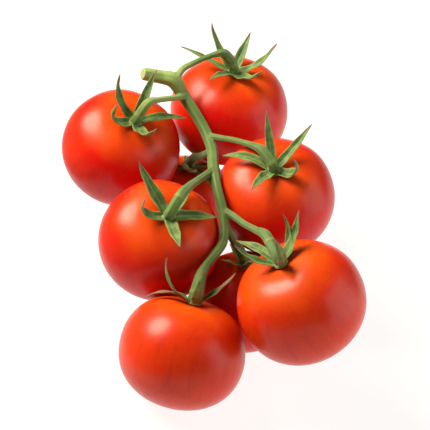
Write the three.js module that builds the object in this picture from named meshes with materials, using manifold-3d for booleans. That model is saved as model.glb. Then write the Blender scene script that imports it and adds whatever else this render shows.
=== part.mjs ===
// A truss of eight tomatoes, cut from the plant and lying on three of its fruits.
// Each fruit, each star of sepals and the branched green stem is a solid of its own.
// Millimetres and degrees. +Z is up, +Y runs along the stem towards its cut end.
import * as THREE from 'three';
import { mergeVertices } from 'three/addons/utils/BufferGeometryUtils.js';
import Module from 'manifold-3d';

const wasm = await Module();
wasm.setup();

// Neighbouring pieces keep this gap, and the whole truss is set over the origin by its offset.
const GAP = 0.45;
const OFFSET = [3.1, -7.2, 0];

// Fruits, from the cut end to the tip: middle, width across, height from calyx to blossom end,
// and how far the calyx end leans from upright and towards which side.
const FRUITS = [
  { at: [-2.2, 81, 73.4], across: 62.5, tall: 53.5, lean: 6.6, toward: -113 },
  { at: [-53.8, 42, 64], across: 61.5, tall: 53, lean: 23.7, toward: -54 },
  { at: [28.1, 14.5, 69.5], across: 60.5, tall: 52.5, lean: 24.9, toward: -110 },
  { at: [-24.8, -19.3, 55], across: 60.5, tall: 52.5, lean: 24.7, toward: -73 },
  { at: [47.5, -54.5, 59.5], across: 62, tall: 55, lean: 32, toward: -174 },
  { at: [-4.2, -67.4, 27.1], across: 61.2, tall: 54, lean: 26, toward: 81 },
  { at: [-16.8, 58.4, 24.1], across: 55.5, tall: 49.5, lean: 2, toward: 139 },
  { at: [21.6, -16.6, 24.1], across: 52.4, tall: 49, lean: 8, toward: 180 },
];

// Form of a fruit, as shares of its half height or half width.
const FULLNESS = 2.2; // exponent of the profile, where 2 is a plain ellipse
const DIMPLE_DEPTH = 0.15;
const DIMPLE_WIDTH = 0.38;
const RIBS = 5;
const RIB_HEIGHT = 0.014;
const FRUIT_SIDES = 24;
const FRUIT_ROWS = 13;

// A calyx sits in the dimple, at this share of the half height above the middle of the fruit.
const CALYX_SEAT = 0.93;
const HUB = [[0, -1.2], [2.4, -1.1], [3.8, 0], [3.1, 0.9], [0, 1.2]];
const HUB_TOP = 1.2;
const HUB_SIDES = 12;

// Sepals of each calyx: turn round the fruit's axis, rise at the foot, rise at the tip,
// sideways sweep, length and half the greatest width.
const SEPALS = [
  [[170, 21, 15, 0, 28.5, 1.8], [135, 30, 60, -4, 27.4, 2], [79, 14, 43, -9, 24.2, 2.6],
    [16, 15, 86, 3, 27.5, 2.5], [237, 32, 6, 2, 20, 2.4], [317, 12, 75, 5, 23.6, 3]],
  [[156, 17, 106, -4, 29.4, 2.5], [213, 3, 128, 1, 28.3, 2.6], [88, 26, 45, -3, 27, 2.4],
    [28, 22, -16, -9, 25.5, 2.3], [295, 21, 97, 15, 26.5, 3.1]],
  [[104, 24, 55, -2, 27.5, 2.2], [50, 17, 37, 2, 27.3, 2.3], [158, 20, -39, 18, 26.5, 2.4],
    [242, 35, 23, 8, 20.5, 2.8], [340, 3, 143, 3, 24, 2.8]],
  [[139, 17, 41, 3, 29, 3], [198, 3, 130, 2, 26, 2.4], [65, 9, -25, 6, 17.5, 2.1],
    [16, 9, -20, 2, 22.5, 2.7], [291, 22, 35, -3, 21.7, 3]],
  [[305, 44, 95, 0, 24, 2.6], [45, 21, 66, 5, 25, 2.9], [60, 12, 111, -2, 24.5, 2],
    [138, 33, -3, 12, 25.2, 2.4], [189, 31, 90, -4, 24, 2.4]],
  [[196, 14, 97, 1, 27.5, 2.3], [183, 20, -43, 1, 22.5, 2.2], [25, 36, 63, 0, 23.5, 2.2],
    [272, 36, 98, 0, 22.5, 2.4]],
  [[262, 31, 62, -6, 21, 2.4], [318, 15, -23, -15, 19, 2.4], [282, 24, 55, 4, 20, 2.2],
    [110, 5, 0, 0, 9.5, 2.2], [30, 6, 2, 0, 9.5, 2.2], [200, 10, 5, 0, 9, 2.2]],
  [[234, 40, 44, -1, 20, 2.4], [117, 15, -17, 0, 16, 2.3], [293, 48, 43, 7, 19, 2.4],
    [20, 10, -4, 0, 13, 2.2], [338, 15, 5, 0, 14, 2.2]],
];
const SEPAL_FOOT = 2.4; // distance from the axis at which a sepal starts
const SEPAL_THICK = 0.75;
const SEPAL_CUP = 0.3; // how far its edges stand up, as a share of the half width
const SEPAL_STEPS = 7;

// Stem and fruit stalks: the points that each runs through, every one with its half thickness.
const MAIN_STEM = [
  [-49, 56, 101.8, 3.1], [-44.3, 58, 100.6, 3.4], [-38.8, 59.5, 99.6, 3.5], [-33.2, 59.8, 99, 4.1],
  [-26.3, 58.7, 91, 3.4], [-18.2, 51.5, 85.3, 2.9], [-11.5, 43, 81, 2.9], [-7.2, 32.5, 78.7, 2.8],
  [-4.5, 13.5, 79.8, 2.9], [-0.8, -1, 78, 2.5], [3.5, -10, 72, 2.7], [5.6, -17, 68, 2.3],
  [6.2, -25, 65, 2.2], [3.6, -34, 63.5, 2.1], [0, -42, 61.5, 2.1], [-1.5, -48.5, 60, 2.7],
];
const STALKS = [
  [[-32, 60.5, 100, 2], [-29, 65, 103.5, 1.8], [-25, 68, 105.5, 1.6], [-19.5, 72, 107.5, 1.5],
    [-14.5, 75, 109, 1.7], [-9.8, 77.5, 109.3, 2.4]],
  [[-25.5, 58.5, 91.5, 1.9], [-30, 52, 93.5, 1.6], [-35, 46, 95.5, 1.5], [-39.5, 40.3, 97.2, 1.7],
    [-42.8, 36.5, 97.5, 2.4]],
  [[-9.5, 41, 81, 1.9], [-3.5, 34.3, 85.5, 1.6], [2.5, 27.3, 90.2, 1.5], [8, 20.3, 94.2, 1.6],
    [13, 13.8, 97.6, 1.8], [17, 8.8, 99.4, 2.4]],
  [[-4.5, 13.5, 79.5, 2.3], [-7.8, 5.2, 81.4, 2], [-11.6, -4.6, 83.7, 2], [-14.6, -15, 87, 2.1],
    [-17.5, -24, 88, 2.6]],
  [[3.5, -9.5, 72.5, 2.1], [8.5, -14, 73.5, 1.8], [14, -21.5, 75.5, 1.7], [20.5, -32, 80.3, 1.8],
    [25.4, -44.3, 87, 2.5]],
  [],
  [[-7.5, 33, 77.5, 2.1], [-10, 39.5, 71, 1.9], [-13, 46, 64.5, 1.9], [-16, 52.5, 58.5, 2.4]],
  [[6, -16, 68, 2.1], [8.5, -16, 64, 1.9], [11, -16, 60, 1.9], [14.5, -16.5, 56.5, 2.4]],
];
const STALK_END = 2.6; // half thickness where a stalk meets its calyx
const TIP_END = 3.1; // the same where the main stem meets the tip fruit's calyx
const STALK_LAST = 2.5; // length of the straight piece above the calyx
const STEM_SIDES = 10;
const STALK_SIDES = 8;
const STEP_LENGTH = 4.5; // distance between rings along a stem

const skin = () => new THREE.MeshStandardMaterial({ color: 0xd3200c, roughness: 0.22, metalness: 0 });
const green = () => new THREE.MeshStandardMaterial({ color: 0x6f9446, roughness: 0.65, metalness: 0 });
const leafGreen = () => new THREE.MeshStandardMaterial({ color: 0x4f7631, roughness: 0.6, metalness: 0 });

const radians = THREE.MathUtils.degToRad;

// A closed three.js geometry as a manifold solid, without the triangles that close up at a pole.
function toSolid(geometry) {
  const bare = geometry.clone();
  bare.deleteAttribute('normal');
  bare.deleteAttribute('uv');
  const merged = mergeVertices(bare, 1e-4);
  const corners = merged.index.array;
  const triangles = [];
  for (let i = 0; i < corners.length; i += 3) {
    const [a, b, c] = [corners[i], corners[i + 1], corners[i + 2]];
    if (a !== b && b !== c && c !== a) triangles.push(a, b, c);
  }
  return new wasm.Manifold(new wasm.Mesh({
    numProp: 3,
    vertProperties: new Float32Array(merged.attributes.position.array),
    triVerts: new Uint32Array(triangles),
  }));
}

function toGeometry(solid) {
  const mesh = solid.getMesh();
  const geometry = new THREE.BufferGeometry();
  geometry.setAttribute('position', new THREE.BufferAttribute(new Float32Array(mesh.vertProperties), 3));
  geometry.setIndex(new THREE.BufferAttribute(new Uint32Array(mesh.triVerts), 1));
  geometry.computeVertexNormals();
  return geometry;
}

// Rings of points joined into a closed skin, with a fan over each end.
function skinOver(rings) {
  const count = rings[0].length;
  const points = rings.flat();
  const middle = (ring) => ring.reduce((sum, p) => sum.add(p), new THREE.Vector3()).divideScalar(count);
  const first = points.push(middle(rings[0])) - 1;
  const last = points.push(middle(rings[rings.length - 1])) - 1;
  const faces = [];
  for (let k = 0; k < count; k += 1) {
    const next = (k + 1) % count;
    for (let row = 0; row < rings.length - 1; row += 1) {
      const [low, high] = [row * count, (row + 1) * count];
      faces.push(low + k, low + next, high + next, low + k, high + next, high + k);
    }
    const top = (rings.length - 1) * count;
    faces.push(first, next, k, last, top + k, top + next);
  }
  const geometry = new THREE.BufferGeometry().setFromPoints(points);
  geometry.setIndex(faces);
  return geometry;
}

// The turn that leans an upright piece over with its fruit.
function leanOf(fruit) {
  const side = radians(fruit.toward);
  const hinge = new THREE.Vector3(-Math.sin(side), Math.cos(side), 0);
  return new THREE.Quaternion().setFromAxisAngle(hinge, radians(fruit.lean));
}

// A point on a fruit's own axis, so far above its middle.
function onAxis(fruit, height) {
  const point = new THREE.Vector3(0, 0, height).applyQuaternion(leanOf(fruit));
  return point.add(new THREE.Vector3(...fruit.at));
}

// Skin and flesh in one: a flattened globe with full shoulders, faint ribs and a dimple on top.
function tomatoShape(fruit) {
  const [halfWidth, halfHeight] = [fruit.across / 2, fruit.tall / 2];
  const geometry = new THREE.SphereGeometry(1, FRUIT_SIDES, FRUIT_ROWS);
  geometry.rotateX(Math.PI / 2);
  const spot = geometry.attributes.position;
  const point = new THREE.Vector3();
  for (let i = 0; i < spot.count; i += 1) {
    point.fromBufferAttribute(spot, i);
    const around = Math.hypot(point.x, point.y);
    const reach = ((around / halfWidth) ** FULLNESS + (Math.abs(point.z) / halfHeight) ** FULLNESS)
      ** (-1 / FULLNESS);
    const angle = Math.atan2(point.y, point.x);
    const shoulder = Math.max(0, point.z) * around * 2;
    const rib = 1 - RIB_HEIGHT * shoulder * (1 - Math.cos(RIBS * angle + fruit.tall));
    const out = around * reach * rib;
    let up = point.z * reach;
    if (point.z > 0) {
      up -= DIMPLE_DEPTH * halfHeight * Math.exp(-((out / (DIMPLE_WIDTH * halfWidth)) ** 2));
    }
    const scale = around > 0 ? out / around : 0;
    spot.setXYZ(i, point.x * scale, point.y * scale, up);
  }
  geometry.applyQuaternion(leanOf(fruit));
  geometry.translate(...fruit.at);
  return geometry;
}

// A fruit that touches the table is flat where it rests, the way a soft fruit settles.
function makeTomato(fruit, number) {
  let solid = toSolid(tomatoShape(fruit));
  const table = new THREE.BoxGeometry(200, 200, 20).translate(fruit.at[0], fruit.at[1], -10);
  solid = solid.subtract(toSolid(table));
  const mesh = new THREE.Mesh(toGeometry(solid), skin());
  mesh.name = `tomato_${number}`;
  return mesh;
}

// A sepal: a pointed, cupped blade whose rise changes steadily from foot to tip.
function sepalShape([turn, riseFoot, riseTip, sweep, length, halfWidth]) {
  const rings = [];
  const centre = new THREE.Vector3(
    SEPAL_FOOT * Math.cos(radians(turn)), SEPAL_FOOT * Math.sin(radians(turn)), 0,
  );
  for (let step = 0; step <= SEPAL_STEPS; step += 1) {
    const along = step / SEPAL_STEPS;
    const rise = radians(riseFoot + (riseTip - riseFoot) * along);
    const heading = radians(turn + sweep * along);
    const forward = new THREE.Vector3(
      Math.cos(rise) * Math.cos(heading), Math.cos(rise) * Math.sin(heading), Math.sin(rise),
    );
    const across = new THREE.Vector3(-Math.sin(heading), Math.cos(heading), 0);
    const face = new THREE.Vector3().crossVectors(forward, across);
    const half = Math.max(0.3, halfWidth * (1 - along) ** 0.8 * (0.8 + 0.45 * along));
    const thick = SEPAL_THICK * (1 - 0.25 * along) / 2;
    const lift = half * SEPAL_CUP;
    const at = (side, up) => centre.clone().addScaledVector(across, side).addScaledVector(face, up);
    rings.push([
      at(-half, lift - thick), at(0, -thick), at(half, lift - thick),
      at(half, lift + thick), at(0, thick), at(-half, lift + thick),
    ]);
    centre.addScaledVector(forward, length / SEPAL_STEPS);
  }
  return skinOver(rings);
}

// A calyx: the low hub under the stalk, with its star of sepals grown from it.
function makeCalyx(fruit, sepals, number) {
  const profile = HUB.map(([out, up]) => new THREE.Vector2(out, up));
  const hub = new THREE.LatheGeometry(profile, HUB_SIDES).rotateX(Math.PI / 2);
  let solid = toSolid(hub);
  for (const sepal of sepals) solid = solid.add(toSolid(sepalShape(sepal)));
  const geometry = toGeometry(solid);
  geometry.applyQuaternion(leanOf(fruit));
  const seat = onAxis(fruit, CALYX_SEAT * fruit.tall / 2);
  geometry.translate(seat.x, seat.y, seat.z);
  const mesh = new THREE.Mesh(geometry, leafGreen());
  mesh.name = `calyx_${number}`;
  return mesh;
}

// A stem through its points, round in section, with the half thickness blended between them.
function branchShape(points, sides) {
  const curve = new THREE.CatmullRomCurve3(points.map(([x, y, z]) => new THREE.Vector3(x, y, z)));
  const steps = Math.round(curve.getLength() / STEP_LENGTH);
  const rings = [];
  let across = new THREE.Vector3(0, 0, 1);
  for (let step = 0; step <= steps; step += 1) {
    const along = step / steps;
    const share = curve.getUtoTmapping(along) * (points.length - 1);
    const before = Math.min(Math.floor(share), points.length - 2);
    const half = THREE.MathUtils.lerp(points[before][3], points[before + 1][3], share - before);
    const centre = curve.getPointAt(along);
    const forward = curve.getTangentAt(along);
    across = across.clone().addScaledVector(forward, -across.dot(forward)).normalize();
    const other = new THREE.Vector3().crossVectors(forward, across);
    const ring = [];
    for (let k = 0; k < sides; k += 1) {
      const angle = (2 * Math.PI * k) / sides;
      ring.push(centre.clone()
        .addScaledVector(across, half * Math.cos(angle))
        .addScaledVector(other, half * Math.sin(angle)));
    }
    rings.push(ring);
  }
  return skinOver(rings);
}

// A stalk's last piece stands upright on its calyx, a gap above the hub.
function endOnCalyx(points, fruit, half) {
  const foot = CALYX_SEAT * fruit.tall / 2 + HUB_TOP + GAP;
  const bend = onAxis(fruit, foot + STALK_LAST);
  const end = onAxis(fruit, foot);
  return [...points, [...bend.toArray(), half - 0.1], [...end.toArray(), half]];
}

// The green stem is one grown piece: the main stem ends on the tip fruit, the stalks on the rest.
function makeStem() {
  const tipFruit = STALKS.findIndex((points) => points.length === 0);
  const trunk = endOnCalyx(MAIN_STEM, FRUITS[tipFruit], TIP_END);
  let solid = toSolid(branchShape(trunk, STEM_SIDES));
  STALKS.forEach((points, i) => {
    if (i === tipFruit) return;
    const stalk = endOnCalyx(points, FRUITS[i], STALK_END);
    solid = solid.add(toSolid(branchShape(stalk, STALK_SIDES)));
  });
  const mesh = new THREE.Mesh(toGeometry(solid), green());
  mesh.name = 'stem';
  return mesh;
}

const truss = new THREE.Group();
truss.add(makeStem());
FRUITS.forEach((fruit, i) => {
  truss.add(makeTomato(fruit, i + 1));
  truss.add(makeCalyx(fruit, SEPALS[i], i + 1));
});
truss.position.set(...OFFSET);
truss.updateMatrixWorld(true);

export default truss;
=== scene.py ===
"""A truss of eight ripe tomatoes on its branched green stem, dressed round its solids."""
import math

import bpy
import numpy as np
from mathutils import Matrix, Quaternion, Vector
from mathutils.kdtree import KDTree


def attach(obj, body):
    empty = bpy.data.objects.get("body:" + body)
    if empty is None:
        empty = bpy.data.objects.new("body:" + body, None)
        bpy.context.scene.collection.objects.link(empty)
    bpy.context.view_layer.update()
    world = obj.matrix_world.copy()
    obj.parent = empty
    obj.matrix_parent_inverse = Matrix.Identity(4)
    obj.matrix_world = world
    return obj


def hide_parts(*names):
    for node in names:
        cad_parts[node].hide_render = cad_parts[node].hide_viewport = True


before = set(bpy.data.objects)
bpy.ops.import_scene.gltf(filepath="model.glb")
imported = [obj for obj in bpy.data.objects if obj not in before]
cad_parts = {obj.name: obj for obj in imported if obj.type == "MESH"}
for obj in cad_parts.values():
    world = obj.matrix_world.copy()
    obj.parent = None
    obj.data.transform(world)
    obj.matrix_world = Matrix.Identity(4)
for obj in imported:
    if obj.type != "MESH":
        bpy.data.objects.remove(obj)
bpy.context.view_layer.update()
MM = 0.001

# Camera: it looks down on the lying truss from beyond its tip, far enough off that the fruits
# keep their round outlines, and it is rolled a little.
LOOK_AT = Vector((3.1, -7.2, 62)) * MM
CAMERA_DISTANCE = 900 * MM
LOOKS_DOWN = 35.6
ROLLED = 9.86
SENSOR = 36
LENS = 150.7

tilt = Matrix.Rotation(math.radians(90 - LOOKS_DOWN), 3, "X")
aim = tilt @ Matrix.Rotation(math.radians(ROLLED), 3, "Z")
bpy.ops.object.camera_add()
camera = bpy.context.object
camera.data.sensor_width = SENSOR
camera.data.lens = LENS
camera.matrix_world = Matrix.Translation(LOOK_AT + aim @ Vector((0, 0, CAMERA_DISTANCE))) @ aim.to_4x4()
bpy.context.scene.camera = camera


# Floor: a wide light table. Its white pane is lit through from below, so that shadows on it stay
# faint, and ends a little to the left of the truss. Beyond that edge the table top is dull grey.
FLOOR_SIZE = 12
FLOOR_ROUGHNESS = 0.9
FLOOR_WHITE = "#f6f5f3"
FLOOR_PALE = "#6e6c6a"
FLOOR_GLOW = 0.97
PANE_ACROSS = (0.985, 0.197, 0)
PANE_EDGE = -105 * MM
PANE_RIM = 5 * MM


def linear(code):
    """A hex sRGB colour as the linear colour that a shader takes."""
    shares = [int(code[place:place + 2], 16) / 255 for place in (1, 3, 5)]
    return (*[s / 12.92 if s <= 0.04045 else ((s + 0.055) / 1.055) ** 2.4 for s in shares], 1)


def add_node(tree, kind, inputs=None, **settings):
    """Adds a node, with a value or a link for each named or numbered input."""
    made = tree.nodes.new(kind)
    for name, value in settings.items():
        setattr(made, name, value)
    for place, value in (inputs or {}).items():
        if isinstance(value, bpy.types.NodeSocket):
            tree.links.new(value, made.inputs[place])
        else:
            made.inputs[place].default_value = value
    return made


def start_material(name, **sockets):
    """A new material and its shader, with the shader's plain sockets set."""
    made = bpy.data.materials.new(name)
    made.use_nodes = True
    shader = made.node_tree.nodes["Principled BSDF"]
    for socket, value in sockets.items():
        shader.inputs[socket.replace("_", " ")].default_value = value
    return made, made.node_tree, shader


bpy.ops.object.select_all(action="DESELECT")
bpy.ops.mesh.primitive_plane_add(size=FLOOR_SIZE)
floor = bpy.context.object
floor.name = "floor"
table_white, tree, shader = start_material(
    "table_white", Base_Color=linear(FLOOR_PALE), Roughness=FLOOR_ROUGHNESS,
    Emission_Color=linear(FLOOR_WHITE),
)
spot = add_node(tree, "ShaderNodeTexCoord").outputs["Object"]
inward = add_node(tree, "ShaderNodeVectorMath", {0: spot, 1: PANE_ACROSS}, operation="DOT_PRODUCT")
lit = add_node(
    tree, "ShaderNodeMapRange",
    {0: inward.outputs["Value"], 1: PANE_EDGE - PANE_RIM, 2: PANE_EDGE, 3: 0.0, 4: FLOOR_GLOW},
)
tree.links.new(lit.outputs[0], shader.inputs["Emission Strength"])
floor.data.materials.append(table_white)


# Light: a large softbox high on the left, a broad dim panel on the right, and a dim pale room.
# Directions are from the middle of the truss, and brightness is what the fruits see.
SOFTBOXES = {
    "key": {
        "towards": (-0.70, 0.13, 0.70), "far": 900, "size": (650, 650), "bright": 15.5, "round": True,
        "colour": "#fff5e2",
    },
    "panel": {
        "towards": (0.95, -0.13, 0.30), "far": 900, "size": (900, 1100), "bright": 2.15, "round": False,
        "colour": "#ffffff",
    },
}
ROOM_COLOUR = "#eef0f2"
ROOM_BRIGHT = 0.1

for name, box in SOFTBOXES.items():
    towards = Vector(box["towards"]).normalized()
    bpy.ops.object.light_add(type="AREA", location=LOOK_AT + towards * box["far"] * MM)
    lamp = bpy.context.object
    lamp.name = f"softbox_{name}"
    lamp.rotation_mode = "QUATERNION"
    lamp.rotation_quaternion = towards.to_track_quat("Z", "Y")
    lamp.data.shape = "ELLIPSE" if box["round"] else "RECTANGLE"
    lamp.data.size = box["size"][0] * MM
    lamp.data.size_y = box["size"][1] * MM
    lamp.data.color = linear(box["colour"])[:3]
    lamp.data.energy = box["bright"] * math.pi * lamp.data.size * lamp.data.size_y

world = bpy.data.worlds.new("room")
world.use_nodes = True
world.node_tree.nodes["Background"].inputs["Color"].default_value = linear(ROOM_COLOUR)
world.node_tree.nodes["Background"].inputs["Strength"].default_value = ROOM_BRIGHT
bpy.context.scene.world = world
bpy.context.scene.view_settings.view_transform = "Standard"


# Tomatoes: eight round fruits with thin, shiny, tight skins. Each is a flattened globe with full
# shoulders and a dimple where its stalk was grown in, faint ribs, and a dry scar at the far end.
# Three of them carry the truss and are flat where they rest.
TRUSS_AT = Vector((3.1, -7.2, 0))
FRUITS = [
    {"at": (-2.2, 81, 73.4), "across": 62.5, "tall": 53.5, "lean": 6.6, "toward": -113, "orange": 0.15},
    {"at": (-53.8, 42, 64), "across": 61.5, "tall": 53, "lean": 23.7, "toward": -54, "orange": 0.12},
    {"at": (28.1, 14.5, 69.5), "across": 60.5, "tall": 52.5, "lean": 24.9, "toward": -110, "orange": 0.2},
    {"at": (-24.8, -19.3, 55), "across": 60.5, "tall": 52.5, "lean": 24.7, "toward": -73, "orange": 0.12},
    {"at": (47.5, -54.5, 59.5), "across": 62, "tall": 55, "lean": 32, "toward": -174, "orange": 0.85},
    {"at": (-4.2, -67.4, 27.1), "across": 61.2, "tall": 54, "lean": 26, "toward": 81, "orange": 0.9},
    {"at": (-16.8, 58.4, 24.1), "across": 55.5, "tall": 49.5, "lean": 2, "toward": 139, "orange": 0.1},
    {"at": (21.6, -16.6, 24.1), "across": 52.4, "tall": 49, "lean": 8, "toward": 180, "orange": 0.1},
]
FULLNESS = 2.2
DIMPLE_DEPTH = 0.12
DIMPLE_WIDTH = 0.38
DIMPLE_BLEND = 0.4
RIBS = 5
RIB_HEIGHT = 0.014
CREASE_DEPTH = 0.08
CREASE_OUT = 0.33
CREASE_WIDTH = 0.17
CREASE_SHARPNESS = 5
CREASE_DRIFT = 0.5
FRUIT_SEGMENTS = 144
FRUIT_RINGS = 96
SKIN_RED = "#cd0b04"
SKIN_ORANGE = "#d23204"
SHOULDER_ORANGE = "#df570b"
SKIN_DEEP = "#8e0302"
SPECK_PALE = "#f08a48"
SCAR_BROWN = "#4a2a14"
BLOTCH = 22
BLOTCH_SPREAD = 0.2
# How much more orange the key-lit left side of each fruit is made; this is painted light.
PAINTED_LIT_SIDE = 0.5
STREAKS = 9
STREAK_LENGTHWISE = 1.1
STREAK_STRENGTH = 0.28
SHOULDER_STRENGTH = 0.7
SPECK_SPACING = 1.7
SPECK_STRENGTH = 0.16
SCAR_INSIDE = 0.03
SCAR_OUTSIDE = 0.05
WAX_SMOOTH = 0.29
WAX_DULL = 0.35
PORE = 0.35
PORE_DEPTH = 0.1


def lean_of(fruit):
    """The turn that leans an upright piece over with its fruit."""
    side = math.radians(fruit["toward"])
    return Quaternion((-math.sin(side), math.cos(side), 0), math.radians(fruit["lean"]))


def store(mesh, name, values, kind="FLOAT"):
    """Keeps a value for each vertex on the mesh, for its material to read."""
    layer = mesh.attributes.new(name, kind, "POINT")
    layer.data.foreach_set("value" if kind == "FLOAT" else "vector", np.ravel(values).astype(np.float32))


def vertices_of(mesh):
    spots = np.empty(len(mesh.vertices) * 3)
    mesh.vertices.foreach_get("co", spots)
    return spots.reshape(-1, 3)


def smoothstep(low, high, value):
    share = np.clip((value - low) / (high - low), 0, 1)
    return share * share * (3 - 2 * share)


def make_fruit(number, fruit):
    """A globe pushed into the fruit's form, leaned over and set down in its place."""
    bpy.ops.mesh.primitive_uv_sphere_add(segments=FRUIT_SEGMENTS, ring_count=FRUIT_RINGS, radius=1)
    piece = bpy.context.object
    piece.name = f"fruit_{number}"
    mesh = piece.data
    x, y, z = vertices_of(mesh).T
    half_wide, half_tall = fruit["across"] / 2, fruit["tall"] / 2
    around = np.hypot(x, y)
    angle = np.arctan2(y, x)
    reach = ((around / half_wide) ** FULLNESS + (np.abs(z) / half_tall) ** FULLNESS) ** (-1 / FULLNESS)
    shoulder = np.clip(z, 0, None) * around * 2
    out = around * reach * (1 - RIB_HEIGHT * shoulder * (1 - np.cos(RIBS * angle + fruit["tall"])))
    up = z * reach
    from_axis = out / half_wide
    top = smoothstep(0, DIMPLE_BLEND, z)
    up -= top * DIMPLE_DEPTH * half_tall * np.exp(-((from_axis / DIMPLE_WIDTH) ** 2))
    drifting = RIBS * angle + fruit["tall"] + CREASE_DRIFT * np.sin(2 * angle)
    crease = (0.5 - 0.5 * np.cos(drifting)) ** CREASE_SHARPNESS
    up -= top * CREASE_DEPTH * crease * np.exp(-(((from_axis - CREASE_OUT) / CREASE_WIDTH) ** 2))
    grow = np.divide(out, around, out=np.zeros_like(out), where=around > 1e-9)
    spots = np.stack([x * grow, y * grow, up], 1)
    own = spots / [half_wide, half_wide, half_tall]
    turned = spots @ np.array(lean_of(fruit).to_matrix()).T
    turned += np.array(TRUSS_AT + Vector(fruit["at"]))
    turned[:, 2] = np.maximum(turned[:, 2], 0)
    mesh.vertices.foreach_set("co", np.ravel(turned * MM))
    store(mesh, "own", own, "FLOAT_VECTOR")
    store(mesh, "orange", np.full(len(own), fruit["orange"]))
    mesh.update()
    bpy.ops.object.shade_smooth()
    return piece


def make_tomato_skin():
    """Ripe tomato skin: a clear waxy cuticle over red flesh, glossy, with soft edges to what it
    mirrors. It is more orange on the shoulders, blotched, streaked lengthwise and finely specked,
    and it carries painted light: its side towards the key light is made more orange."""
    skin, tree, shader = start_material(
        "tomato_skin", IOR=1.35,
        Subsurface_Weight=0.3, Subsurface_Scale=4 * MM, Subsurface_Radius=(1.0, 0.22, 0.08),
    )
    place = add_node(tree, "ShaderNodeTexCoord").outputs["Object"]
    own = add_node(tree, "ShaderNodeAttribute", attribute_name="own").outputs["Vector"]
    orange = add_node(tree, "ShaderNodeAttribute", attribute_name="orange").outputs["Fac"]
    ways = add_node(tree, "ShaderNodeSeparateXYZ", {0: own})
    height = ways.outputs["Z"]
    # Painted light: the side of each fruit towards the key light on the left is made more orange, standing
    # in for the strong light that falls there.
    painted_lit_side = add_node(
        tree, "ShaderNodeMapRange", {0: ways.outputs["X"], 1: -1.0, 2: -0.3, 3: PAINTED_LIT_SIDE, 4: 0.0},
    )
    blotch = add_node(
        tree, "ShaderNodeTexNoise", {"Vector": place, "Scale": 1 / (BLOTCH * MM), "Detail": 3.0},
    )
    spread = add_node(
        tree, "ShaderNodeMapRange",
        {0: blotch.outputs[0], 1: 0.35, 2: 0.65, 3: -BLOTCH_SPREAD, 4: BLOTCH_SPREAD},
    )
    blotch_and_painted_light = add_node(
        tree, "ShaderNodeMath", {0: painted_lit_side.outputs[0], 1: spread.outputs[0]}, operation="ADD",
    )
    ripeness_and_painted_light = add_node(
        tree, "ShaderNodeMath", {0: orange, 1: blotch_and_painted_light.outputs[0]}, operation="ADD", use_clamp=True,
    )
    body = add_node(
        tree, "ShaderNodeMix", {0: ripeness_and_painted_light.outputs[0], 6: linear(SKIN_RED), 7: linear(SKIN_ORANGE)},
        data_type="RGBA",
    )
    meridians = add_node(
        tree, "ShaderNodeMapping", {"Vector": own, "Scale": (STREAKS, STREAKS, STREAK_LENGTHWISE)},
    )
    streak = add_node(
        tree, "ShaderNodeTexNoise",
        {"Vector": meridians.outputs[0], "Scale": 1.0, "Detail": 5.0, "Roughness": 0.6},
    )
    dark = add_node(
        tree, "ShaderNodeMapRange", {0: streak.outputs[0], 1: 0.5, 2: 0.72, 3: 0.0, 4: STREAK_STRENGTH},
    )
    streaked = add_node(
        tree, "ShaderNodeMix", {0: dark.outputs[0], 6: body.outputs[2], 7: linear(SKIN_DEEP)},
        data_type="RGBA",
    )
    ragged = add_node(
        tree, "ShaderNodeMath", {0: spread.outputs[0], 1: 0.4, 2: height}, operation="MULTIPLY_ADD",
    )
    ring = add_node(
        tree, "ShaderNodeMapRange",
        {0: ragged.outputs[0], 1: 0.55, 2: 0.95, 3: 0.0, 4: SHOULDER_STRENGTH},
    )
    shoulders = add_node(
        tree, "ShaderNodeMix", {0: ring.outputs[0], 6: streaked.outputs[2], 7: linear(SHOULDER_ORANGE)},
        data_type="RGBA",
    )
    specks = add_node(tree, "ShaderNodeTexVoronoi", {"Vector": place, "Scale": 1 / (SPECK_SPACING * MM)})
    dot = add_node(
        tree, "ShaderNodeMapRange",
        {0: specks.outputs["Distance"], 1: 0.08, 2: 0.2, 3: SPECK_STRENGTH, 4: 0.0},
    )
    specked = add_node(
        tree, "ShaderNodeMix", {0: dot.outputs[0], 6: shoulders.outputs[2], 7: linear(SPECK_PALE)},
        data_type="RGBA",
    )
    pole = add_node(tree, "ShaderNodeVectorMath", {0: own, 1: (0, 0, -1)}, operation="DISTANCE")
    scar = add_node(
        tree, "ShaderNodeMapRange",
        {0: pole.outputs["Value"], 1: SCAR_INSIDE, 2: SCAR_OUTSIDE, 3: 1.0, 4: 0.0},
    )
    scarred = add_node(
        tree, "ShaderNodeMix", {0: scar.outputs[0], 6: specked.outputs[2], 7: linear(SCAR_BROWN)},
        data_type="RGBA",
    )
    tree.links.new(scarred.outputs[2], shader.inputs["Base Color"])
    wax = add_node(
        tree, "ShaderNodeMapRange", {0: streak.outputs[0], 1: 0.3, 2: 0.7, 3: WAX_SMOOTH, 4: WAX_DULL},
    )
    tree.links.new(wax.outputs[0], shader.inputs["Roughness"])
    pores = add_node(
        tree, "ShaderNodeTexNoise", {"Vector": place, "Scale": 1 / (PORE * MM), "Detail": 2.0},
    )
    tight = add_node(
        tree, "ShaderNodeBump", {"Height": pores.outputs[0], "Strength": 0.06, "Distance": PORE_DEPTH * MM},
    )
    tree.links.new(tight.outputs[0], shader.inputs["Normal"])
    return skin


tomato_skin = make_tomato_skin()
for number, fruit in enumerate(FRUITS, 1):
    piece = make_fruit(number, fruit)
    piece.data.materials.append(tomato_skin)
    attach(piece, "root")
    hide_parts(f"tomato_{number}")


# Stem: one woody-green piece that grew in a zigzag, with a stalk to every fruit. It is round with
# soft lengthwise ridges, swells at each fork and ends in a clean cut. Every stalk has a ringed
# knuckle near its fruit, where a ripe fruit would drop.
CALYX_SEAT = 0.93
STALK_FOOT = 0.4
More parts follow.
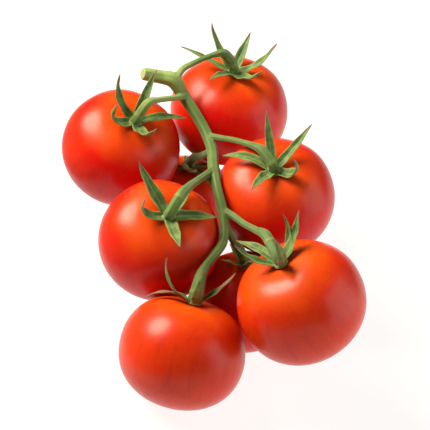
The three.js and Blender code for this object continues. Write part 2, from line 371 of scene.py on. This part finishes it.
# Points that each branch runs through: x, y, z and half thickness.
MAIN_STEM = [
    (-49, 56, 101.8, 3.1), (-44.3, 58, 100.6, 3.4), (-38.8, 59.5, 99.6, 3.5), (-33.2, 59.8, 99, 4.1),
    (-26.3, 58.7, 91, 3.4), (-18.2, 51.5, 85.3, 2.9), (-11.5, 43, 81, 2.9), (-7.2, 32.5, 78.7, 2.8),
    (-4.5, 13.5, 79.8, 2.9), (-0.8, -1, 78, 2.5), (3.5, -10, 72, 2.7), (5.6, -17, 68, 2.3),
    (6.2, -25, 65, 2.2), (3.6, -34, 63.5, 2.1), (0, -42, 61.5, 2.1), (-1.5, -48.5, 60, 2.8),
]
STALKS = [
    [(-32, 60.5, 100, 2), (-29, 65, 103.5, 1.8), (-25, 68, 105.5, 1.6), (-19.5, 72, 107.5, 1.5),
     (-14.5, 75, 109, 1.7), (-9.8, 77.5, 109.3, 2.4)],
    [(-25.5, 58.5, 91.5, 1.9), (-30, 52, 93.5, 1.6), (-35, 46, 95.5, 1.5), (-39.5, 40.3, 97.2, 1.7),
     (-42.8, 36.5, 97.5, 2.4)],
    [(-9.5, 41, 81, 1.9), (-3.5, 34.3, 85.5, 1.6), (2.5, 27.3, 90.2, 1.5), (8, 20.3, 94.2, 1.6),
     (13, 13.8, 97.6, 1.8), (17, 8.8, 99.4, 2.4)],
    [(-4.5, 13.5, 79.5, 2.3), (-7.8, 5.2, 81.4, 2), (-11.6, -4.6, 83.7, 2), (-14.6, -15, 87, 2.1),
     (-17.5, -24, 88, 2.6)],
    [(3.5, -9.5, 72.5, 2.1), (8.5, -14, 73.5, 1.8), (14, -21.5, 75.5, 1.7), (20.5, -32, 80.3, 1.8),
     (25.4, -44.3, 87, 2.5)],
    [],
    [(-7.5, 33, 77.5, 2.1), (-10, 39.5, 71, 1.9), (-13, 46, 64.5, 1.9), (-16, 52.5, 58.5, 2.4)],
    [(6, -16, 68, 2.1), (8.5, -16, 64, 1.9), (11, -16, 60, 1.9), (14.5, -16.5, 56.5, 2.4)],
]
STALK_LAST = 3.2
STALK_END = 2.6
TIP_END = 3.7
LINE_STEP = 0.8
VOXEL = 0.42
SAMPLES_NEAR = 5
RIDGES = 6
RIDGE_HEIGHT = 0.12
RIDGE_TWIST = 0.02
KNUCKLE_FAR = 16
KNUCKLE_NEAR = 4.5
RING_HEIGHT = 0.13
RING_WIDTH = 0.9
GROOVE_DEPTH = 0.15
GROOVE_BEYOND = 1.5
GROOVE_WIDTH = 0.45
CUT_FLAT = 0.1
CUT_EDGE = 0.5
STEM_GREEN = "#65813c"
STEM_SHADE = "#49642a"
STEM_YELLOW = "#a0b056"
STEM_PALE = "#97ac5e"
PALE_NEAR = 16
PALE_FAR = 34
PALE_STRENGTH = 0.75
KNUCKLE_STRENGTH = 0.3
FURROW_STRENGTH = 0.22
STEM_CLOUD = 7
STEM_GRAIN = 0.5
GRAIN_DEPTH = 0.12
CUT_PALE = "#9da66c"


def smooth_line(rows):
    """A smooth curve through the points, at even steps, with the half thickness carried along."""
    rows = np.array(rows, float)
    chain = [2 * rows[0] - rows[1], *rows, 2 * rows[-1] - rows[-2]]
    line = []
    for span in zip(chain, chain[1:], chain[2:], chain[3:]):
        knots = np.cumsum([0] + [np.linalg.norm(b[:3] - a[:3]) ** 0.5 for a, b in zip(span, span[1:])])
        for now in np.linspace(knots[1], knots[2], 12, endpoint=False):
            mixed = list(span)
            for reach in (1, 2):
                mixed = [
                    (a * (knots[i + reach] - now) + b * (now - knots[i])) / (knots[i + reach] - knots[i])
                    for i, (a, b) in enumerate(zip(mixed, mixed[1:]))
                ]
            share = (now - knots[1]) / (knots[2] - knots[1])
            line.append(mixed[0] * (1 - share) + mixed[1] * share)
    line = np.array([*line, rows[-1]])
    along = np.concatenate([[0], np.cumsum(np.linalg.norm(np.diff(line[:, :3], axis=0), axis=1))])
    even = np.linspace(0, along[-1], max(4, round(along[-1] / LINE_STEP)))
    return even, np.stack([np.interp(even, along, column) for column in line.T], 1)


def on_axis(fruit, height):
    """A point on a fruit's own axis, so far above its middle, in millimetres."""
    return TRUSS_AT + Vector(fruit["at"]) + lean_of(fruit) @ Vector((0, 0, height))


def to_calyx(points, fruit, half):
    """A stalk's last piece stands upright on its calyx and is grown into it."""
    foot = CALYX_SEAT * fruit["tall"] / 2 + STALK_FOOT
    bend = on_axis(fruit, foot + STALK_LAST) - TRUSS_AT
    end = on_axis(fruit, foot) - TRUSS_AT
    return [*points, (*bend, half), (*end, half + 0.3)]


def branch_tube(line):
    """A round tube along a branch, closed at both ends."""
    curve = bpy.data.curves.new("branch", "CURVE")
    curve.dimensions = "3D"
    curve.bevel_depth = MM
    curve.bevel_resolution = 5
    curve.use_fill_caps = True
    spline = curve.splines.new("POLY")
    spline.points.add(len(line) - 1)
    for point, (x, y, z, half) in zip(spline.points, line):
        point.co = (*((Vector((x, y, z)) + TRUSS_AT) * MM), 1)
        point.radius = half
    tube = bpy.data.objects.new("branch", curve)
    bpy.context.collection.objects.link(tube)
    return tube


def finish_modifier(piece, kind, **settings):
    """Adds a modifier to the piece with these settings, and applies it."""
    bpy.ops.object.select_all(action="DESELECT")
    bpy.context.view_layer.objects.active = piece
    piece.select_set(True)
    bpy.ops.object.modifier_add(type=kind)
    for name, value in settings.items():
        setattr(piece.modifiers[-1], name, value)
    bpy.ops.object.modifier_apply(modifier=piece.modifiers[-1].name)


def join(pieces, name):
    """Turns the pieces into one mesh."""
    bpy.ops.object.select_all(action="DESELECT")
    for piece in pieces:
        piece.select_set(True)
    bpy.context.view_layer.objects.active = pieces[0]
    bpy.ops.object.convert(target="MESH")
    bpy.ops.object.join()
    whole = bpy.context.object
    whole.name = name
    return whole


def frames_along(line):
    """The way ahead at each point of a line, and two ways across it that never twist."""
    ahead = np.gradient(line[:, :3], axis=0)
    ahead /= np.linalg.norm(ahead, axis=1)[:, None]
    across = [np.cross(ahead[0], [0.3, 0.2, 1])]
    for way in ahead:
        across.append(across[-1] - way * across[-1].dot(way))
        across[-1] /= np.linalg.norm(across[-1])
    across = np.array(across[1:])
    return ahead, across, np.cross(ahead, across)


def carve_stem(piece, lines):
    """Gives the smooth stem its ridges and its ringed knuckles, and marks them for the colours."""
    nearby = KDTree(sum(len(line) for _, line in lines))
    samples = []
    for even, line in lines:
        swollen = line[:, 3] * (even > even[-1] - KNUCKLE_FAR) * (even < even[-1] - KNUCKLE_NEAR)
        knuckle = even[np.argmax(swollen)]
        for step, row, ahead, across, other in zip(even, line, *frames_along(line)):
            samples.append((row, ahead, across, other, step, step - knuckle))
            nearby.insert(row[:3] + np.array(TRUSS_AT), len(samples) - 1)
    nearby.balance()
    mesh = piece.data
    spots = vertices_of(mesh)
    normals = np.empty(len(spots) * 3)
    mesh.vertices.foreach_get("normal", normals)
    marks = np.zeros((len(spots), 4))
    for i, spot in enumerate(spots / MM):
        near = min(nearby.find_n(spot, SAMPLES_NEAR), key=lambda hit: hit[2] / samples[hit[1]][0][3])
        row, ahead, across, other, step, from_ring = samples[near[1]]
        offset = spot - np.array(TRUSS_AT) - row[:3]
        from_ring += offset.dot(ahead)
        turn = math.atan2(offset.dot(other), offset.dot(across))
        ridge = math.cos(RIDGES * turn + RIDGE_TWIST * step)
        ring = math.exp(-((from_ring / RING_WIDTH) ** 2))
        groove = math.exp(-(((from_ring - GROOVE_BEYOND) / GROOVE_WIDTH) ** 2))
        marks[i] = ridge, ring, groove, step + offset.dot(ahead)
    ridge, ring, groove, step = marks.T
    lift = RIDGE_HEIGHT * ridge * (1 - ring) + RING_HEIGHT * ring - GROOVE_DEPTH * groove
    cut = 1 - smoothstep(CUT_FLAT, CUT_EDGE, step)
    spots += normals.reshape(-1, 3) * (lift * (1 - cut) * MM)[:, None]
    mesh.vertices.foreach_set("co", np.ravel(spots))
    store(mesh, "ridge", ridge)
    store(mesh, "knuckle", ring)
    store(mesh, "cut", cut)
    # The rind is made paler and yellower the nearer it lies to the cut end.
    from_cut = np.linalg.norm(spots / MM - np.array(TRUSS_AT) - MAIN_STEM[0][:3], axis=1)
    store(mesh, "near_cut_end", 1 - smoothstep(PALE_NEAR, PALE_FAR, from_cut))
    mesh.update()


def make_stem():
    tip = next(i for i, points in enumerate(STALKS) if not points)
    lines = [smooth_line(to_calyx(MAIN_STEM, FRUITS[tip], TIP_END))]
    for i, points in enumerate(STALKS):
        if points:
            lines.append(smooth_line(to_calyx(points, FRUITS[i], STALK_END)))
    piece = join([branch_tube(line) for _, line in lines], "green_stem")
    finish_modifier(piece, "REMESH", mode="VOXEL", voxel_size=VOXEL * MM)
    finish_modifier(piece, "SMOOTH", factor=0.5, iterations=8)
    carve_stem(piece, lines)
    finish_modifier(piece, "SMOOTH", factor=0.4, iterations=1)
    bpy.ops.object.shade_smooth()
    return piece


def make_stem_green():
    """Fresh green stem: a dull, faintly downy rind, darker in its furrows, yellower at the
    knuckles, paler and yellower towards its cut end, and pale and wet where it was cut."""
    green, tree, shader = start_material(
        "stem_rind", Roughness=0.62, IOR=1.4, Sheen_Weight=0.15, Sheen_Roughness=0.5,
        Subsurface_Weight=0.06, Subsurface_Scale=1.0 * MM, Subsurface_Radius=(0.5, 0.8, 0.2),
    )
    place = add_node(tree, "ShaderNodeTexCoord").outputs["Object"]
    ridge = add_node(tree, "ShaderNodeAttribute", attribute_name="ridge").outputs["Fac"]
    knuckle = add_node(tree, "ShaderNodeAttribute", attribute_name="knuckle").outputs["Fac"]
    cut = add_node(tree, "ShaderNodeAttribute", attribute_name="cut").outputs["Fac"]
    cloud = add_node(
        tree, "ShaderNodeTexNoise", {"Vector": place, "Scale": 1 / (STEM_CLOUD * MM), "Detail": 5.0},
    )
    shade = add_node(
        tree, "ShaderNodeMath", {0: cloud.outputs[0], 1: 1.4, 2: -0.2}, operation="MULTIPLY_ADD",
    )
    furrow = add_node(
        tree, "ShaderNodeMath", {0: ridge, 1: FURROW_STRENGTH, 2: shade.outputs[0]},
        operation="MULTIPLY_ADD", use_clamp=True,
    )
    rind = add_node(
        tree, "ShaderNodeMix", {0: furrow.outputs[0], 6: linear(STEM_SHADE), 7: linear(STEM_GREEN)},
        data_type="RGBA",
    )
    # Paler and yellower towards the cut end of the main stem.
    near_cut_end = add_node(tree, "ShaderNodeAttribute", attribute_name="near_cut_end").outputs["Fac"]
    paled_near_cut = add_node(tree, "ShaderNodeMath", {0: near_cut_end, 1: PALE_STRENGTH}, operation="MULTIPLY")
    paler_near_cut = add_node(
        tree, "ShaderNodeMix", {0: paled_near_cut.outputs[0], 6: rind.outputs[2], 7: linear(STEM_PALE)},
        data_type="RGBA",
    )
    warm = add_node(tree, "ShaderNodeMath", {0: knuckle, 1: KNUCKLE_STRENGTH}, operation="MULTIPLY")
    ringed = add_node(
        tree, "ShaderNodeMix", {0: warm.outputs[0], 6: paler_near_cut.outputs[2], 7: linear(STEM_YELLOW)},
        data_type="RGBA",
    )
    ended = add_node(
        tree, "ShaderNodeMix", {0: cut, 6: ringed.outputs[2], 7: linear(CUT_PALE)}, data_type="RGBA",
    )
    tree.links.new(ended.outputs[2], shader.inputs["Base Color"])
    grain = add_node(
        tree, "ShaderNodeTexNoise", {"Vector": place, "Scale": 1 / (STEM_GRAIN * MM), "Detail": 3.0},
    )
    rough = add_node(
        tree, "ShaderNodeBump",
        {"Height": grain.outputs[0], "Strength": 0.35, "Distance": GRAIN_DEPTH * MM},
    )
    tree.links.new(rough.outputs[0], shader.inputs["Normal"])
    return green


green_stem = make_stem()
green_stem.data.materials.append(make_stem_green())
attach(green_stem, "root")
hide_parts("stem")


# Calyxes: on each fruit a star of four to six leafy sepals round the foot of the stalk. A sepal is
# widest near its foot, folded along its rib, pale at its rims and dry and brown at its tip.
SEPAL_FOOT = 2.4
# Each sepal's turn round the fruit, rise at the foot, rise at the tip, sweep, length, half width
# and how much of it is dry.
SEPALS = [
    [(170, 21, 15, 0, 28.5, 1.9, 0.1), (135, 30, 60, -4, 27.4, 2.1, 0.15), (79, 14, 43, -9, 24.2, 2.7, 0.1),
     (16, 15, 86, 3, 27.5, 2.5, 0.15), (237, 32, 6, 2, 20, 2.4, 0.1), (317, 12, 75, 5, 23.6, 3.2, 0.1)],
    [(156, 17, 106, -4, 29.4, 2.5, 0.15), (213, 3, 128, 1, 28.3, 2.7, 0.1), (88, 26, 45, -3, 27, 2.5, 0.1),
     (28, 22, -16, -9, 25.5, 2.3, 0.1), (295, 21, 97, 15, 26.5, 3.2, 0.1)],
    [(104, 24, 55, -2, 27.5, 2.3, 0.15), (50, 17, 37, 2, 27.3, 2.4, 0.15),
     (158, 20, -39, 18, 26.5, 2.5, 0.1), (242, 35, 23, 8, 20.5, 2.9, 0.1), (340, 3, 143, 3, 24, 2.9, 0.1)],
    [(139, 17, 41, 3, 29, 3.1, 0.1), (198, 3, 130, 2, 26, 2.5, 0.15), (65, 9, -25, 6, 17.5, 2.1, 0.1),
     (16, 9, -20, 2, 22.5, 2.8, 0.1), (291, 22, 35, -3, 21.7, 3.1, 0.1)],
    [(305, 44, 95, 0, 24, 2.7, 0.1), (45, 21, 66, 5, 25, 3, 0.1), (60, 12, 111, -2, 24.5, 2, 0.1),
     (138, 33, -3, 12, 25.2, 2.5, 0.1), (189, 31, 90, -4, 24, 2.5, 0.1)],
    [(196, 14, 97, 1, 27.5, 2.4, 0.2), (183, 20, -43, 1, 22.5, 2.2, 0.8), (25, 36, 63, 0, 23.5, 2.2, 0.5),
     (272, 36, 98, 0, 22.5, 2.4, 0.1)],
    [(262, 31, 62, -6, 21, 2.4, 0.1), (318, 15, -23, -15, 19, 2.4, 0.1), (282, 24, 55, 4, 20, 2.2, 0.1),
     (110, 5, 0, 0, 9.5, 2.2, 0.1), (30, 6, 2, 0, 9.5, 2.2, 0.1), (200, 10, 5, 0, 9, 2.2, 0.1)],
    [(234, 40, 44, -1, 20, 2.4, 0.1), (117, 15, -17, 0, 16, 2.3, 0.1), (293, 48, 43, 7, 19, 2.4, 0.1),
     (20, 10, -4, 0, 13, 2.2, 0.1), (338, 15, 5, 0, 14, 2.2, 0.1)],
]
SEPAL_STEPS = 28
SEPAL_COLUMNS = 8
SEPAL_FOLD = 0.42
SEPAL_WAVE = 0.16
SEPAL_WAVES = 2.3
SEPAL_THICK = 0.5
SEPAL_WIDER = 1.2
SEPAL_TIP_HALF = 0.12
TIP_FROM = 0.8
TIP_LIFT = 30
TIP_TURN = 14
RIB_SAMPLES = 200
HUB_HALF = 3.8
HUB_TALL = 1.5
LEAF_GREEN = "#6c8941"
LEAF_DARK = "#3d5a26"
LEAF_RIM = "#92a358"
LEAF_DRY = "#8a624b"
LEAF_CLOUD = 4
LEAF_GRAIN = 0.45
RIM_STRENGTH = 0.6
RIB_STRENGTH = 0.55


def make_sepal(row, lag, wobble):
    """One sepal: a grid bent along its rib, folded and waved, and given its thickness."""
    turn, rise_foot, rise_tip, sweep, length, half_wide, dry = row
    bpy.ops.mesh.primitive_grid_add(x_subdivisions=SEPAL_COLUMNS, y_subdivisions=SEPAL_STEPS, size=2)
    blade = bpy.context.object
    side, share, _ = vertices_of(blade.data).T
    share = (share + 1) / 2
    steps = np.linspace(0, 1, RIB_SAMPLES)
    rise = np.radians(rise_foot + (rise_tip - rise_foot) * (steps - lag))
    curl = np.clip(steps - TIP_FROM, 0, 1) / (1 - TIP_FROM)
    rise += np.radians(wobble[0] * TIP_LIFT) * curl
    heading = np.radians(turn + sweep * (steps - lag) + wobble[1] * TIP_TURN * curl)
    ahead = np.stack([np.cos(rise) * np.cos(heading), np.cos(rise) * np.sin(heading), np.sin(rise)], 1)
    rib = np.cumsum(ahead, axis=0) * length / len(steps)
    rib += SEPAL_FOOT * np.array([math.cos(math.radians(turn)), math.sin(math.radians(turn)), 0])
    across = np.stack([-np.sin(heading), np.cos(heading), np.zeros_like(heading)], 1)
    face = np.cross(ahead, across)

    def along_rib(table):
        return np.stack([np.interp(share, steps, column) for column in table.T], 1)

    half = half_wide * SEPAL_WIDER * (1 - share) ** 1.1 * (0.7 + 1.6 * share) + SEPAL_TIP_HALF
    fold = SEPAL_FOLD * half * np.abs(side) ** 1.4
    wave = SEPAL_WAVE * half * side * np.sin(2 * math.pi * (SEPAL_WAVES * share + wobble[2]))
    spots = along_rib(rib) + along_rib(across) * (side * half)[:, None]
    spots += along_rib(face) * (fold + wave)[:, None]
    blade.data.vertices.foreach_set("co", np.ravel(spots))
    store(blade.data, "side", side)
    store(blade.data, "share", share)
    store(blade.data, "dry", np.full(len(share), dry))
    finish_modifier(blade, "SOLIDIFY", thickness=SEPAL_THICK, offset=0)
    return blade


def make_calyx(number, fruit, rows):
    """The hub under the stalk, with its sepals grown from it, seated in the fruit's dimple."""
    bpy.ops.mesh.primitive_uv_sphere_add(segments=28, ring_count=14, radius=1)
    hub = bpy.context.object
    hub.data.transform(Matrix.Diagonal((HUB_HALF, HUB_HALF, HUB_TALL, 1)))
    for name in ("side", "share", "dry"):
        store(hub.data, name, np.zeros(len(hub.data.vertices)))
    chance = np.random.default_rng(number)
    blades = [make_sepal(row, 1 / 14, chance.uniform(-1, 1, 3)) for row in rows]
    piece = join([hub, *blades], f"sepals_{number}")
    finish_modifier(piece, "SUBSURF", levels=1, render_levels=1)
    seat = on_axis(fruit, CALYX_SEAT * fruit["tall"] / 2)
    piece.data.transform(lean_of(fruit).to_matrix().to_4x4())
    piece.data.transform(Matrix.Translation(seat))
    piece.data.transform(Matrix.Scale(MM, 4))
    bpy.ops.object.shade_smooth()
    return piece


def make_leaf_green():
    """Sepal leaf: soft dull green with a pale rib and rims, fine veins and a dry brown tip."""
    leaf, tree, shader = start_material(
        "sepal_leaf", Roughness=0.58, IOR=1.4, Sheen_Weight=0.12, Sheen_Roughness=0.5,
        Subsurface_Weight=0.1, Subsurface_Scale=0.6 * MM, Subsurface_Radius=(0.5, 0.8, 0.2),
    )
    place = add_node(tree, "ShaderNodeTexCoord").outputs["Object"]
    side = add_node(tree, "ShaderNodeAttribute", attribute_name="side").outputs["Fac"]
    share = add_node(tree, "ShaderNodeAttribute", attribute_name="share").outputs["Fac"]
    dry = add_node(tree, "ShaderNodeAttribute", attribute_name="dry").outputs["Fac"]
    cloud = add_node(
        tree, "ShaderNodeTexNoise", {"Vector": place, "Scale": 1 / (LEAF_CLOUD * MM), "Detail": 5.0},
    )
    patchy = add_node(tree, "ShaderNodeMapRange", {0: cloud.outputs[0], 1: 0.35, 2: 0.65})
    green = add_node(
        tree, "ShaderNodeMix", {0: patchy.outputs[0], 6: linear(LEAF_DARK), 7: linear(LEAF_GREEN)},
        data_type="RGBA",
    )
    outward = add_node(tree, "ShaderNodeMath", {0: side}, operation="ABSOLUTE")
    rim = add_node(
        tree, "ShaderNodeMapRange", {0: outward.outputs[0], 1: 0.62, 2: 1.0, 3: 0.0, 4: RIM_STRENGTH},
    )
    rib = add_node(
        tree, "ShaderNodeMapRange", {0: outward.outputs[0], 1: 0.03, 2: 0.14, 3: RIB_STRENGTH, 4: 0.0},
    )
    pale = add_node(tree, "ShaderNodeMath", {0: rim.outputs[0], 1: rib.outputs[0]}, operation="MAXIMUM")
    lined = add_node(
        tree, "ShaderNodeMix", {0: pale.outputs[0], 6: green.outputs[2], 7: linear(LEAF_RIM)},
        data_type="RGBA",
    )
    left = add_node(tree, "ShaderNodeMath", {0: 1.0, 1: share}, operation="SUBTRACT")
    past = add_node(tree, "ShaderNodeMath", {0: dry, 1: left.outputs[0]}, operation="SUBTRACT")
    brown = add_node(tree, "ShaderNodeMapRange", {0: past.outputs[0], 1: -0.08, 2: 0.06, 3: 0.0, 4: 0.9})
    tipped = add_node(
        tree, "ShaderNodeMix", {0: brown.outputs[0], 6: lined.outputs[2], 7: linear(LEAF_DRY)},
        data_type="RGBA",
    )
    tree.links.new(tipped.outputs[2], shader.inputs["Base Color"])
    grain = add_node(
        tree, "ShaderNodeTexNoise", {"Vector": place, "Scale": 1 / (LEAF_GRAIN * MM), "Detail": 3.0},
    )
    rough = add_node(
        tree, "ShaderNodeBump",
        {"Height": grain.outputs[0], "Strength": 0.35, "Distance": GRAIN_DEPTH * MM},
    )
    tree.links.new(rough.outputs[0], shader.inputs["Normal"])
    return leaf


sepal_leaf = make_leaf_green()
for number, (fruit, rows) in enumerate(zip(FRUITS, SEPALS), 1):
    piece = make_calyx(number, fruit, rows)
    piece.data.materials.append(sepal_leaf)
    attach(piece, "root")
    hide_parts(f"calyx_{number}")
